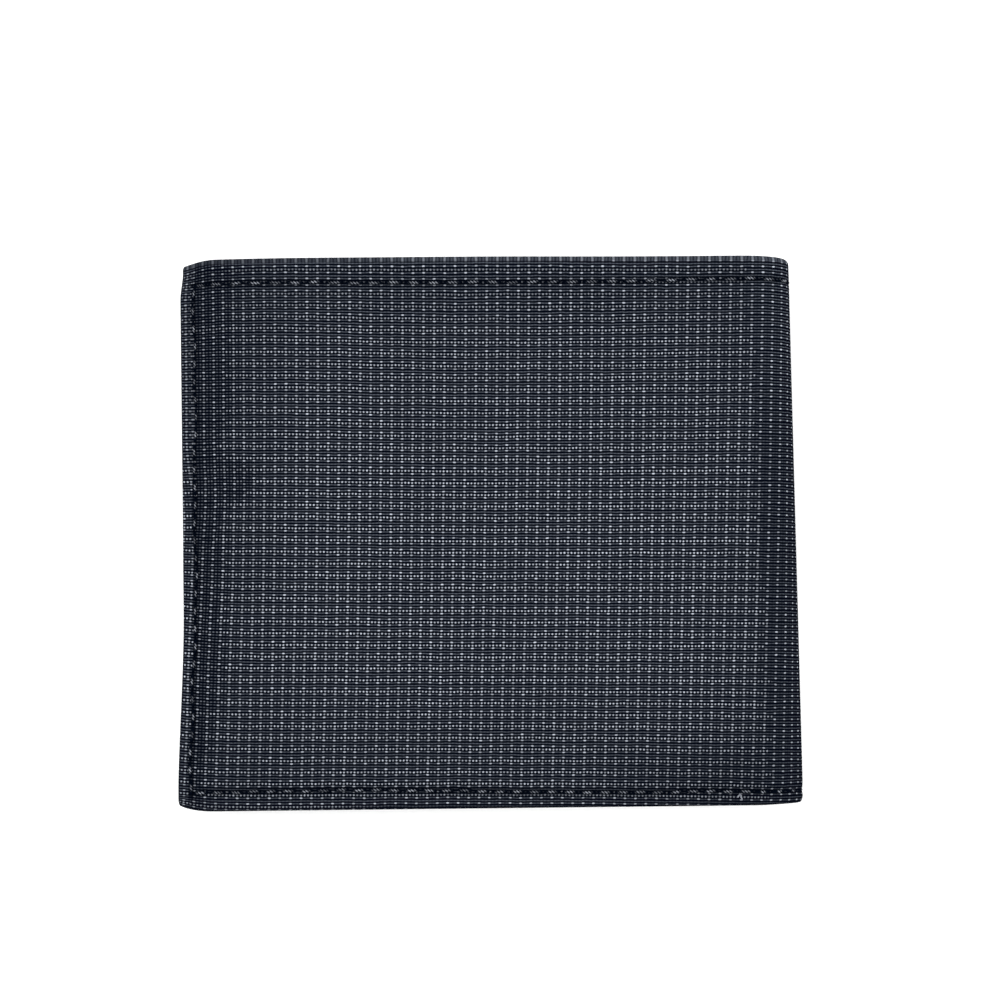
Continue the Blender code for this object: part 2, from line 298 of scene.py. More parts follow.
def cloth_layer(name, side, s_lines, y_lines, rims, depths, dips=None, paint=None):
    """A closed sheet of cloth with rolled edges.

    rims are the widths of the rolls at the near, far, bottom and top edges, 0 for a cut edge. depths(s, y)
    gives the outer and inner depth, and dips(s, y) how far those two faces are pressed in. paint holds
    functions of s and y that become attributes for the materials.
    """
    near, far, bottom, top = rims
    into_s = rolled(s_lines, s_lines[0], s_lines[-1], near, far)[:, None]
    into_y = rolled(y_lines, y_lines[0], y_lines[-1], bottom, top)[None, :]
    round_s = into_s * np.sqrt(1 - into_y**2 / 4)
    round_y = into_y * np.sqrt(1 - into_s**2 / 4)
    s = s_lines[:, None] + (round_s - into_s) * np.where(into_s > 0, far, near)
    y = y_lines[None, :] + (round_y - into_y) * np.where(into_y > 0, top, bottom)
    thick = np.sqrt((1 - into_s**2) * (1 - into_y**2))
    outer, inner = depths(s, y)
    middle = (outer + inner) / 2
    half = (inner - outer) / 2
    outer_dip, inner_dip = dips(s, y) if dips else (0, 0)
    faces_at = [
        place(side, s, y, middle - (half - outer_dip) * thick),
        place(side, s, y, middle + (half - inner_dip) * thick),
    ]

    rows, columns = s.shape
    outer_index = np.arange(rows * columns).reshape(rows, columns)
    inner_index = outer_index + rows * columns
    for rim, edge in ((near, np.s_[0, :]), (far, np.s_[-1, :]), (bottom, np.s_[:, 0]), (top, np.s_[:, -1])):
        if rim:
            inner_index[edge] = outer_index[edge]

    def quads(index, flip):
        corners = [index[:-1, :-1], index[1:, :-1], index[1:, 1:], index[:-1, 1:]]
        found = np.stack(corners, axis=-1).reshape(-1, 4)
        return found[:, ::-1] if flip else found

    outward = side > 0
    faces = [quads(outer_index, outward), quads(inner_index, not outward)]
    if not near:
        corners = [outer_index[0, :-1], outer_index[0, 1:], inner_index[0, 1:], inner_index[0, :-1]]
        cut = np.stack(corners, axis=-1)
        faces.append(cut[:, ::-1] if outward else cut)
    faces = np.concatenate(faces)
    used, faces = np.unique(faces, return_inverse=True)
    faces = [tuple(dict.fromkeys(face)) for face in faces.reshape(-1, 4).tolist()]
    points = np.concatenate([part.reshape(-1, 3) for part in faces_at])[used]

    flat_s = np.concatenate([s.ravel(), (2 * s_lines[-1] - s).ravel()])[used]
    turned = np.where(y > 0, 2 * y_lines[-1] - y, 2 * y_lines[0] - y)
    flat_y = np.concatenate([y.ravel(), turned.ravel()])[used]

    mesh = bpy.data.meshes.new(name)
    mesh.from_pydata(points, [], [face for face in faces if len(face) > 2])
    mesh.update()
    corner_points = np.empty(len(mesh.loops), np.int32)
    mesh.loops.foreach_get("vertex_index", corner_points)
    cloth_map = mesh.uv_layers.new(name="cloth")
    flat = np.stack(thread_numbers(side, flat_s, flat_y), axis=-1)[corner_points]
    cloth_map.data.foreach_set("uv", flat.astype(np.float32).ravel())
    for attribute, values_at in (paint or {}).items():
        values = np.concatenate([np.broadcast_to(values_at(s, y), s.shape).ravel()] * 2)[used]
        mesh.attributes.new(attribute, "FLOAT", "POINT").data.foreach_set("value", values.astype(np.float32))
    mesh.polygons.foreach_set("use_smooth", [True] * len(mesh.polygons))
    obj = bpy.data.objects.new(name, mesh)
    bpy.context.scene.collection.objects.link(obj)
    return obj


def thread_numbers(side, s, y):
    """Warp and pick number at points of the cloth, which lies a little askew, its threads bowed.

    across and up run from about -1 to 1 over the cover. The terms in them are a smooth fit of where the
    threads lie, and the others bend the threads near the side seam and the top edge.
    """
    across = (s - COVER_MIDDLE) / (50 * MM)
    up = y / TOP
    from_edge = s - SIDE_EDGE
    on_slope = np.clip(from_edge + slope_width(y), 0, None)
    warp = (s - drawn_in(s, y) + SLOPE_STRETCH * on_slope) / WARP + WARP_PHASE
    warp = warp + 2.01 * up - 0.61 * up**2 + (0.76 - 0.5 * up - 0.36 * up**2) * across
    warp = warp - 0.37 * across**2 - 0.96 * across**3
    warp = warp - 2.2 * smooth(y / (17 * MM)) * beyond_seam(s)
    pulled = 0.75 * smooth((y + 25 * MM) / (20 * MM)) + 0.5 * hill(y, 7 * MM, 6 * MM)
    warp = warp + pulled * smooth((from_edge + 16 * MM) / (10 * MM))

    pick = y / PICK - 1.08 * across - 0.38 * across**2 - 0.21 * across**3 - 0.78 * up**2 + PICK_PHASE
    wavy = 0.12 + 0.45 * np.cos(3.3 * across + 0.66)
    pick = pick - 1.1 * across**2 * up - wavy * smooth((y - 38 * MM) / (6 * MM))
    fan = np.exp(np.minimum(from_edge + 7 * MM, 0) / (8 * MM)) + 0.8 * np.clip(from_edge / (7 * MM) + 1, 0, 1)
    bow = 0.45 * smooth((up - 0.55) / 0.35) + 0.25 * hill(y, 13 * MM, 4 * MM)
    pick = pick + (np.maximum(up, 0) + bow) * fan - 0.35 * smooth(-up / 0.2) * fan**2
    return side * warp, pick


def beyond_seam(s):
    """1 in the strip outside the side seam."""
    return smooth((s - SIDE_SEAM - 0.3 * MM) / (0.4 * MM))


def plain_width(y):
    """How far from the side edge the rows of dots end, in millimetres: further just above mid height."""
    hollow = 5.4 * np.exp(-(((y - 9.4 * MM) / (4.2 * MM)) ** 4))
    lowest_row = smooth((BOTTOM + 1.3 * MM - y) / (0.5 * MM))
    width = 4 + 4.7 * smooth((y + 46 * MM) / (24 * MM)) + 1.8 * smooth((y - 16 * MM) / (6 * MM))
    return width + hollow - 9 * lowest_row


def slope_at(s, y):
    """Millimetres past the line where the rows of dots, partly painted sheen, end as the cloth slopes towards
    the side seam or the fold.
    """
    at_side = (s - SIDE_EDGE) / MM + plain_width(y)
    at_fold = (ROLL_END - s) / MM - 2.6 + 3.6 * (y - BOTTOM) / HEIGHT
    return np.maximum(at_side, at_fold) - 20 * beyond_seam(s)


def slack_at(s, y):
    """1 near the side seam, where the threads are slack and stand up one by one, 0 elsewhere."""
    return smooth(((s - SIDE_EDGE) / MM + plain_width(y) + 3) / 5) * (1 - beyond_seam(s))


def dots_and_sheen_at(s, y):
    """How clearly the weave's rows of dots show, the dots being partly pale yarn and partly painted sheen:
    faint near the top edge and at most of the bottom edge.
    """
    at_top = smooth((y - TOP + 14 * MM) / (10 * MM))
    at_bottom = smooth((BOTTOM + 1.2 * MM - y) / (0.5 * MM)) * smooth((SIDE_EDGE - 24 * MM - s) / (14 * MM))
    near_middle = hill(s, 53 * MM, 13 * MM)
    below_seam = 0.18 + 0.14 * smooth((s - 30 * MM) / (10 * MM)) + 0.35 * near_middle
    below_seam = below_seam * smooth((BOTTOM_SEAM + 0.3 * MM - y) / (0.4 * MM))
    outside = 0.5 * beyond_seam(s) * smooth((y - 8 * MM) / (14 * MM))
    clear = 1.03 - 0.17 * smooth((y - 5 * MM) / (20 * MM)) - 0.45 * at_top * (1 - beyond_seam(s)) - outside
    return clear * (1 - 0.9 * at_bottom) * (1 - below_seam)


def dashes_at(s, y):
    """How clearly the columns of dashes show: best on the fold below its top, where a painted highlight runs
    along the roll, less outside the side seam.
    """
    at_fold = 0.3 * smooth((11 * MM - s) / (3 * MM)) * (1 - 0.8 * smooth((y - 20 * MM) / (20 * MM)))
    return 1 - 0.06 * smooth((y - 5 * MM) / (20 * MM)) + at_fold - 0.2 * beyond_seam(s)


def rim_at(s, y):
    """1 where the cloth turns over the top edge."""
    return smooth((y - TOP + 0.95 * MM) / (0.3 * MM)) + 0 * s


def painted_shade_at(s, y):
    """Painted shade in the cloth's colour: how much of its light the cloth keeps, less towards its edges,
    much less in the seam furrows.

    On the roll of the fold, roll_shade is painted shade above 0 in the lower part and painted light below 0,
    so brighter, at the top.
    """
    to_top = smooth(1 - (TOP - y) / (25 * MM))
    to_bottom = smooth(1 - (y - BOTTOM) / (30 * MM))
    under = smooth((BOTTOM + 0.6 * MM - y) / (0.4 * MM))
    from_edge = s - SIDE_EDGE
    inside = 1 - beyond_seam(s)
    at_side = 0.18 * smooth(from_edge / (14 * MM) + 1.85) * (1 - 0.4 * smooth(-y / (20 * MM)))
    at_side = at_side + 0.12 * smooth(from_edge / (3 * MM) + 2.3)
    near_seam = 0.45 * smooth(1 - (s - SIDE_SEAM) / (1.7 * MM)) * smooth(y / (20 * MM))
    rolled_over = smooth((ROLL_END + 1 * MM - s) / (4 * MM))
    roll_shade = 0.29 - 0.43 * smooth((y - 10 * MM) / (34 * MM)) - 0.05 * smooth((-28 * MM - y) / (12 * MM))
    before_roll = (0.08 + 0.04 * to_bottom) * (smooth((24 * MM - s) / (10 * MM)) - rolled_over)
    near_fold = smooth((46 * MM - s) / (20 * MM)) - rolled_over
    at_low_corner = 0.26 * smooth((-34 * MM - y) / (9 * MM)) * near_fold
    at_edges = at_side * inside + near_seam * (1 - inside) + roll_shade * rolled_over
    at_edges = at_edges + before_roll + at_low_corner
    furrows = [hill(across, 0, 0.45 * MM) * here for across, _, _, here in seams_at(s, y)]
    furrow = np.maximum(0.62 * furrows[0], 0.75 * furrows[1]) + 0.6 * furrows[2]
    dim_rim = 0.35 * rim_at(s, y) * smooth((s - 66 * MM) / (20 * MM))
    open_light = (1 - 0.1 * to_top - 0.2 * to_bottom) * (1 - 0.6 * under) * (1 - dim_rim)
    return open_light * (1 - at_edges) * (1 - np.minimum(furrow, 0.8))


def seams_at(s, y):
    """For each seam: distance from it, distance along it, its pitch and whether it runs here."""
    before_side = s < SIDE_SEAM + FURROW_WIDTH
    between = (y < TOP_SEAM + FURROW_WIDTH) & (y > BOTTOM_SEAM - FURROW_WIDTH)
    return (
        (y - top_seam_at(s), s, TOP_PITCH, before_side),
        (y - bottom_seam_at(s), s, SEAM_PITCH, before_side),
        (s - SIDE_SEAM - side_waver(y), y - BOTTOM_SEAM, SEAM_PITCH, between),
    )


def top_seam_at(s):
    """Height of the top seam, which comes nearer to the edge at the fold."""
    return TOP_SEAM + 0.3 * MM * (1 - smooth(s / (40 * MM)))


def bottom_seam_at(s):
    """Height of the bottom seam, which runs slightly askew and bows upwards in two places."""
    askew = 0.9 * (s / SIDE_EDGE - 0.5)
    bow = 0.62 * hill(s, 80 * MM, 30 * MM) + 0.2 * hill(s, 20 * MM, 8 * MM)
    return BOTTOM_SEAM + (askew + bow) * MM


def side_waver(y):
    """How far the side seam strays sideways."""
    return -0.0085 * y + 0.12 * MM * np.sin(y / (5.2 * MM)) + 0.2 * MM * np.sin(y / (2.1 * MM) + 1.5)


def seam_dips(s, y):
    """The furrow that the stitching pulls into the shell's outer face, deepest at the needle holes."""
    dip = np.zeros(np.broadcast(s, y).shape)
    for across, along, pitch, here in seams_at(s, y):
        hole = 0.5 + 0.5 * np.cos(2 * math.pi * along / pitch)
        line = hill(across, 0, FURROW_WIDTH) * (FURROW_DEPTH + HOLE_DEPTH * hole**2)
        line = line * (1 - 0.6 * hill(s, 0, 4 * MM))
        pucker = PUCKER * np.cos(2 * math.pi * along / pitch) * hill(across, 0, 1.8 * MM)
        dip = np.maximum(dip, np.where(here, line + pucker, 0))
    return dip, 0


def hem_depths(depths, thin, thin_outer=False):
    """The outer and inner depth of a layer that is thinner between its turned edges."""

    def at(s, y):
        inside = smooth((SIDE_EDGE - SIDE_HEM - s) / HEM_STEP)
        inside = inside * smooth((y - BOTTOM - BOTTOM_HEM) / HEM_STEP)
        if thin_outer:
            return depths[0] + (thin - depths[0]) * inside, np.full_like(s, depths[1])
        inside = inside * smooth((TOP - TOP_HEM - y) / HEM_STEP)
        return np.full_like(s, depths[0]), depths[1] + (thin - depths[1]) * inside

    return at


def sewn_depths(depths):
    """The depths of a layer that closes the gap to the next one where it is sewn, at its side and bottom."""

    def at(s, y):
        sewn = np.maximum(smooth((s - SIDE_EDGE) / MM + 4.5), smooth((BOTTOM - y) / MM + 4.5))
        return depths[0] - SEWN_GAIN * sewn, np.full_like(s, depths[1])

    return at


def make_shell(side_name, side):
    side_rim = 1.6 * MM
    bottom_rim = 1.6 * MM
    top_rim = 0.9 * MM
    step = 0.55 * MM
    fine = 0.2 * MM
    s_lines = np.concatenate(
        [
            [0],
            graded(
                (0.05 * MM, SIDE_SEAM - 2 * FURROW_WIDTH, step),
                (SIDE_SEAM - 2 * FURROW_WIDTH, SIDE_EDGE - side_rim, fine),
            ),
            rim_lines(SIDE_EDGE, SIDE_EDGE - side_rim, 8)[1:],
        ]
    )
    y_lines = np.concatenate(
        [
            rim_lines(BOTTOM, BOTTOM + bottom_rim, 8)[:0:-1],
            graded(
                (BOTTOM + bottom_rim, BOTTOM_SEAM + 3 * FURROW_WIDTH, fine),
                (BOTTOM_SEAM + 3 * FURROW_WIDTH, TOP_SEAM - 2 * FURROW_WIDTH, step),
                (TOP_SEAM - 2 * FURROW_WIDTH, TOP_SEAM + 3 * FURROW_WIDTH, fine),
                (TOP_SEAM + 3 * FURROW_WIDTH, TOP - top_rim, 1.5 * fine),
            ),
            rim_lines(TOP, TOP - top_rim, 6)[1:],
        ]
    )
    rims = (0, side_rim, bottom_rim, top_rim)
    depths = hem_depths(SHELL, SHELL_THIN)
    paint = {"slope": slope_at, "slack": slack_at, "dots": dots_and_sheen_at}
    paint |= {"dashes": dashes_at, "rim": rim_at, "shade": painted_shade_at}
    return cloth_layer(f"shell_cloth_{side_name}", side, s_lines, y_lines, rims, depths, seam_dips, paint)


def make_panel(name, side, near, far, bottom, top, depths, near_rim):
    """An inner layer, near to far from the fold and bottom to top, its edges rolled and its top creased."""
    rim = 0.35 * MM
    step = 1.2 * MM
    start = near + (near_rim and rim)
    s_parts = [graded((start, far - rim, step)), rim_lines(far, far - rim, 4)[1:]]
    if near_rim:
        s_parts.insert(0, rim_lines(near, start, 4)[:0:-1])
    y_parts = [
        rim_lines(bottom, bottom + rim, 4)[:0:-1],
        graded((bottom + rim, top - 2.4 * MM, step), (top - 2.4 * MM, top - rim, 0.15 * MM)),
        rim_lines(top, top - rim, 4)[1:],
    ]
    rims = (near_rim and rim, rim, rim, rim)

    def crease(s, y):
        return 0, CREASE_DEPTH * hill(y, top - CREASE_INSET, CREASE_WIDTH) + 0 * s

    return cloth_layer(name, side, np.concatenate(s_parts), np.concatenate(y_parts), rims, depths, crease)


# Stitching.


def thread_mesh(name, side, runs):
    """Every stitch of the runs, as three twisted strands. A run is (route, start, end, pitch, inward, lit).

    route(q, across, depth) gives s, y and d at a distance q along the seam. inward is 1 for stitches on the
    outer face, which dive into the cover, and -1 for those on the inner face. lit is the share of each stitch
    that stands out enough to be given a painted highlight, which the crest attribute carries.
    """
    strands = 3
    rings = 26
    sides = 6
    strand_radius = 0.16 * MM
    twist_radius = 0.17 * MM
    twist_length = 1.7 * MM
    ring_angles = np.arange(sides) * 2 * math.pi / sides
    ring_index = np.arange(rings * sides).reshape(rings, sides)
    next_index = np.roll(ring_index, -1, axis=1)
    corners = [ring_index[:-1], next_index[:-1], next_index[1:], ring_index[1:]]
    tube = np.stack(corners, axis=-1).reshape(-1, 4)
    caps = [ring_index[0, ::-1].tolist(), ring_index[-1].tolist()]
    a = np.linspace(-1, 1, rings)
    slim = 1 - 0.3 * a**4
    points, crests, faces = [], [], []
    for route, start, end, pitch, inward, lit in runs:
        count = round((end - start) / pitch)
        for i in range(count):
            middle = start + (i + 0.5) * (end - start) / count
            half = RNG.uniform(0.43, 0.47) * (end - start) / count
            lean, lift, shift = RNG.normal(0, 1, 3)
            turn = RNG.uniform(0, 2 * math.pi)
            along = middle + a * half
            across = (0.08 * lean * a + 0.05 * shift) * MM
            depth = (0.02 + 0.03 * lift + 0.6 * np.abs(a) ** 3) * MM
            for k in range(strands):
                angle = turn + 2 * math.pi * (k / strands + a * half / twist_length)
                strand_across = across + twist_radius * slim * np.cos(angle)
                strand_depth = depth + twist_radius * slim * np.sin(angle)
                ring_across = strand_across[:, None] + strand_radius * slim[:, None] * np.cos(ring_angles)
                ring_depth = strand_depth[:, None] + strand_radius * slim[:, None] * np.sin(ring_angles)
                ring_along = np.broadcast_to(along[:, None], ring_across.shape)
                s, y, d = route(ring_along, ring_across, inward * ring_depth)
                base = len(points) * rings * sides
                points.append(place(side, s, y, d).reshape(-1, 3))
                # crest is the painted highlight: light on the top of each strand, over the lit share of the
                # stitch.
                height = (depth[:, None] - ring_depth) / (twist_radius + strand_radius)
                crest = np.maximum(0.55 * smooth((height - 0.6) / 0.3), lit - 1)
                crests.append((crest * np.exp(-((a[:, None] / lit) ** 4))).ravel())
                faces += (base + tube).tolist()
                faces += [[base + index for index in cap] for cap in caps]
    mesh = bpy.data.meshes.new(name)
    mesh.from_pydata(np.concatenate(points), [], faces)
    mesh.update()
    crest = mesh.attributes.new("crest", "FLOAT", "POINT")
    crest.data.foreach_set("value", np.concatenate(crests).astype(np.float32))
    mesh.polygons.foreach_set("use_smooth", [True] * len(mesh.polygons))
    obj = bpy.data.objects.new(name, mesh)
    bpy.context.scene.collection.objects.link(obj)
    return obj


def along_top(q, across, depth):
    return q, top_seam_at(q) + across, depth + fold_bite(q)


def along_bottom(q, across, depth):
    return q, bottom_seam_at(q) + across, depth + fold_bite(q)


def fold_bite(q):
    """How much deeper the stitches lie round the fold."""
    return 0.25 * MM * hill(q, 0, 6 * MM)


def straight(start, end):
    """A run of one short length of thread on top of the cloth, from one point to another, in millimetres."""
    (s0, y0), (s1, y1) = start, end
    length = math.hypot(s1 - s0, y1 - y0)
    along_s, along_y = (s1 - s0) / length, (y1 - y0) / length

    def route(q, across, depth):
        s = s0 * MM + q * along_s - LOOSE_WIDTH * across * along_y
        y = BOTTOM + y0 * MM + q * along_y + LOOSE_WIDTH * across * along_s
        return s, y, LOOSE_DEPTH * depth - 0.1 * MM

    # With lit at 2, the loose end's whole length gets the painted highlight.
    return route, -LOOSE_LAP * MM, (length + LOOSE_LAP) * MM, (length + 2 * LOOSE_LAP) * MM, 1, 2


def along_side(q, across, depth):
    return SIDE_SEAM + side_waver(q) + across, q, depth


def innermost(y):
    """Depth of the innermost layer's inner face at each height."""
    depth = np.where(y < SLIP_POCKET_TOP, SLIP_POCKET[1], INNER_WALL[1])
    for i in range(SLOT_COUNT):
        inner_face = FIRST_SLOT + i * SLOT_STEP + SLOT_THICKNESS
        depth = np.where(y < FIRST_SLOT_TOP - i * SLOT_RISE, inner_face, depth)
    return depth


def along_side_inside(q, across, depth):
    middle = np.full_like(q, q.mean())
    return SIDE_SEAM + side_waver(q) + across, q, innermost(middle) + depth


def along_bottom_inside(q, across, depth):
    y = bottom_seam_at(q) + across
    return q, y, innermost(y) + depth


def make_stitching(side_name, side):
    runs = [
        (along_top, 0, SIDE_SEAM, TOP_PITCH, 1, 0.5),
        (along_bottom, 0, 4 * SEAM_PITCH, SEAM_PITCH, 1, 0.25),
        (along_bottom, 4 * SEAM_PITCH, SIDE_SEAM, SEAM_PITCH, 1, 0.5),
        (along_side, BOTTOM_SEAM, TOP_SEAM, SEAM_PITCH, 1, 0.35),
    ]
    if side > 0:
        runs += [straight(start, end) for start, end in zip(LOOSE_END, LOOSE_END[1:])]
    return thread_mesh(f"stitching_{side_name}", side, runs)


def make_inner_stitching(side_name, side):
    runs = [
        (along_side_inside, BOTTOM_SEAM, INNER_WALL_TOP - 1 * MM, SEAM_PITCH, -1, 0.6),
        (along_bottom_inside, POCKET_END + 1 * MM, SIDE_SEAM, SEAM_PITCH, -1, 0.6),
    ]
    return thread_mesh(f"inner_stitching_{side_name}", side, runs)


# Materials.


class Nodes:
    """Small helper that adds shader nodes to a material and links them."""

    def __init__(self, name):
        self.material = bpy.data.materials.new(name)
        self.material.use_nodes = True
        self.tree = self.material.node_tree
        self.shader = self.tree.nodes["Principled BSDF"]

    def add(self, kind, **settings):
        node = self.tree.nodes.new(kind)
        for key, value in settings.items():
            setattr(node, key, value)
        return node

    def link(self, value, socket):
        if isinstance(value, (int, float, tuple)):
            socket.default_value = value
        else:
            self.tree.links.new(value, socket)

    def math(self, operation, *values):
        node = self.add("ShaderNodeMath", operation=operation)
        for value, socket in zip(values, node.inputs):
            self.link(value, socket)
        return node.outputs[0]

    def plus(self, first, second):
        return self.math("ADD", first, second)

    def minus(self, first, second):
        return self.math("SUBTRACT", first, second)

    def times(self, first, second):
        return self.math("MULTIPLY", first, second)

    def step(self, value, low, high):
        """0 where the value is at low, 1 where it is at high, smooth between."""
        node = self.add("ShaderNodeMapRange", interpolation_type="SMOOTHSTEP")
        for given, name in ((value, "Value"), (low, "From Min"), (high, "From Max")):
            self.link(given, node.inputs[name])
        return node.outputs["Result"]

    def noise(self, vector, scale, detail=2.0, roughness=0.5):
        node = self.add("ShaderNodeTexNoise")
        self.link(vector, node.inputs["Vector"])
        for key, value in (("Scale", scale), ("Detail", detail), ("Roughness", roughness)):
            node.inputs[key].default_value = value
        return node.outputs["Fac"]

    def blend(self, share, low, high):
        """A value between two values."""
        node = self.add("ShaderNodeMix")
        for given, socket in ((share, node.inputs[0]), (low, node.inputs[2]), (high, node.inputs[3])):
            self.link(given, socket)
        return node.outputs[0]

    def mix(self, share, low, high):
        """A colour between two colours."""
        node = self.add("ShaderNodeMix", data_type="RGBA")
        for given, socket in ((share, node.inputs[0]), (low, node.inputs[6]), (high, node.inputs[7])):
            self.link(given, socket)
        return node.outputs[2]

    def bump(self, height, distance, strength=1.0):
        node = self.add("ShaderNodeBump")
        self.link(height, node.inputs["Height"])
        node.inputs["Distance"].default_value = distance
        node.inputs["Strength"].default_value = strength
        self.link(node.outputs["Normal"], self.shader.inputs["Normal"])

    def vector(self, x, y, z=0.0):
        node = self.add("ShaderNodeCombineXYZ")
        for value, socket in zip((x, y, z), node.inputs):
            self.link(value, socket)
        return node.outputs[0]

    def cloth_map(self):
        """Warp thread and pick numbers of the cloth, as X and Y."""
        split = self.add("ShaderNodeSeparateXYZ")
        self.link(self.add("ShaderNodeUVMap", uv_map="cloth").outputs[0], split.inputs[0])
        return split.outputs[0], split.outputs[1]

    def place(self):
        return self.add("ShaderNodeTexCoord").outputs["Object"]

    def attribute(self, name):
        return self.add("ShaderNodeAttribute", attribute_name=name).outputs["Fac"]


def weave_material():
    """Dark ground with fine grey picks, rows of bright dots that are partly painted sheen, and bright dashes
    on every third warp thread, with a painted highlight on the fold and painted shade over the whole.
    """
    n = Nodes("shell_weave")
    warp, pick = n.cloth_map()
    place_now = n.vector(warp, pick)
    sway = n.minus(n.noise(place_now, 0.09, 1.0), 0.5)
    sway_fine = n.minus(n.noise(place_now, 0.6, 1.0), 0.5)
    pick = n.plus(pick, n.plus(n.times(sway, 0.5), n.times(sway_fine, 0.3)))
    sway_across = n.minus(n.noise(n.vector(pick, warp), 0.5, 1.0), 0.5)
    warp = n.plus(warp, n.times(sway_across, 0.35))

    warp_number = n.math("FLOOR", warp)
    pick_number = n.math("FLOOR", pick)
    in_warp = n.minus(n.math("FRACT", warp), 0.5)
    in_pick = n.minus(n.math("FRACT", pick), 0.5)
    column = n.math("LESS_THAN", n.math("FLOORED_MODULO", warp_number, float(COLUMN_WARPS)), 0.5)
    row = n.math("FLOORED_MODULO", pick_number, float(REPEAT_PICKS))

    def is_row(number):
        return n.math("COMPARE", row, float(number), 0.1)

    upper_dashes, lower_dashes, dot_row = is_row(0), is_row(2), is_row(3)
    dash_row = n.plus(upper_dashes, lower_dashes)
    for which, rise in ((upper_dashes, 0.12), (lower_dashes, 0.05), (is_row(1), 0.04)):
        in_pick = n.minus(in_pick, n.times(which, rise))
    # The shade attribute is painted shade, with a little painted light at the top of the fold's roll.
    shade = n.attribute("shade")
    rim = n.attribute("rim")

    row_chance = n.add("ShaderNodeTexWhiteNoise", noise_dimensions="1D")
    n.link(n.math("FLOOR", n.math("DIVIDE", pick, float(REPEAT_PICKS))), row_chance.inputs["W"])
    # Past the slope line the dots, partly painted sheen, go dark where the cloth slopes.
    ragged = n.minus(n.attribute("slope"), n.times(row_chance.outputs["Value"], 1.6))
    sloping = n.step(ragged, 0.0, 0.4)
    slack = n.attribute("slack")
    left_over = n.times(n.step(n.noise(place_now, 0.16, 1.0), 0.4, 0.7), n.times(slack, 0.7))
    flat = n.minus(1.0, n.times(sloping, n.minus(1.0, left_over)))

    def ellipse(half_width, half_height):
        """1 in the middle of the cell, 0 outside the ellipse."""
        across = n.math("POWER", n.math("DIVIDE", in_warp, half_width), 2.0)
        up = n.math("POWER", n.math("DIVIDE", in_pick, half_height), 2.0)
        return n.step(n.math("SQRT", n.plus(across, up)), 1.15, 0.45)

    chance = n.add("ShaderNodeTexWhiteNoise", noise_dimensions="2D")
    n.link(n.vector(warp_number, pick_number), chance.inputs["Vector"])
    luck = chance.outputs["Value"]
    brightness = n.plus(0.45, n.times(n.math("POWER", luck, 2.0), 0.45))

    dash = n.times(n.times(ellipse(0.48, 0.28), dash_row), column)
    dash = n.times(dash, n.attribute("dashes"))
    dimmed = n.minus(1.0, n.times(lower_dashes, 0.14))
    dot = n.times(n.times(ellipse(0.29, 0.34), dot_row), flat)
    dot = n.times(dot, n.minus(1.0, n.times(column, 0.1)))
    dot = n.times(dot, n.times(n.attribute("dots"), 0.9))
    bright = n.times(n.math("MAXIMUM", n.times(dash, dimmed), dot), brightness)

    line_pick = n.minus(in_pick, n.times(n.times(dot_row, flat), 0.12))
    ridge = n.step(n.math("ABSOLUTE", line_pick), 0.26, 0.02)
    wave = n.math("COSINE", n.times(in_warp, 2 * math.pi))
    lumpiness = n.plus(0.2, n.times(slack, 0.25))
    lumps = n.plus(n.minus(1.0, lumpiness), n.times(wave, lumpiness))
    line_share = n.minus(1.0, n.times(n.times(dot_row, flat), 0.4))
    line = n.times(n.times(ridge, lumps), n.times(line_share, dimmed))
    line = n.times(line, n.plus(0.75, n.times(n.noise(place_now, 1.3, 3.0), 0.5)))

    crest = n.plus(0.4, n.times(wave, 0.25))
    line = n.blend(rim, line, crest)
    bright = n.blend(rim, bright, n.times(n.times(crest, column), 0.3))

    black = (0.0004, 0.0010, 0.0032, 1)
    grey = (0.064, 0.0725, 0.090, 1)
    pale = (0.440, 0.475, 0.540, 1)
    colour = n.mix(bright, n.mix(line, black, grey), pale)
    n.link(n.mix(shade, black, colour), n.shader.inputs["Base Color"])
    height = n.plus(n.times(line, 0.45), bright)
    n.bump(height, 0.05 * MM, 0.7)
    n.link(n.times(bright, 0.3), n.shader.inputs["Specular IOR Level"])
    n.shader.inputs["Roughness"].default_value = 0.6
    return n.material


def thread_material():
    """Twisted navy-black sewing thread, with a painted highlight on its strands' tops, patchy along the
    thread.
    """
    n = Nodes("sewing_thread")
    fibres = n.noise(n.place(), 4200.0, 4.0, 0.7)
    highlight_patches = n.step(n.noise(n.place(), 500.0, 2.0), 0.3, 0.7)
    # The crest attribute is a painted highlight on the strands' tops, made patchy by the noise.
    light = n.times(n.attribute("crest"), n.plus(0.2, n.times(highlight_patches, 0.8)))
    n.link(n.mix(light, (0.001, 0.002, 0.005, 1), (0.36, 0.385, 0.44, 1)), n.shader.inputs["Base Color"])
    n.bump(fibres, 0.03 * MM, 0.5)
    n.link(n.times(light, 0.5), n.shader.inputs["Specular IOR Level"])
    n.shader.inputs["Roughness"].default_value = 0.45
    return n.material


def lining_material():
    """Fine plain-weave lining, near black."""
    n = Nodes("lining_weave")
    warp, pick = n.cloth_map()
    across = n.math("SINE", n.times(warp, 2 * math.pi * 2.2))
    up = n.math("SINE", n.times(pick, 2 * math.pi * 1.8))
    over = n.times(across, up)
    height = n.plus(0.5, n.times(over, 0.5))
    shade = n.times(height, n.plus(0.6, n.times(n.noise(n.place(), 220.0, 4.0), 0.6)))
    n.link(n.mix(shade, (0.004, 0.005, 0.008, 1), (0.033, 0.037, 0.049, 1)), n.shader.inputs["Base Color"])
    n.bump(height, 0.04 * MM, 0.6)
    n.shader.inputs["Roughness"].default_value = 0.5
    n.shader.inputs["Specular IOR Level"].default_value = 0.15
    return n.material


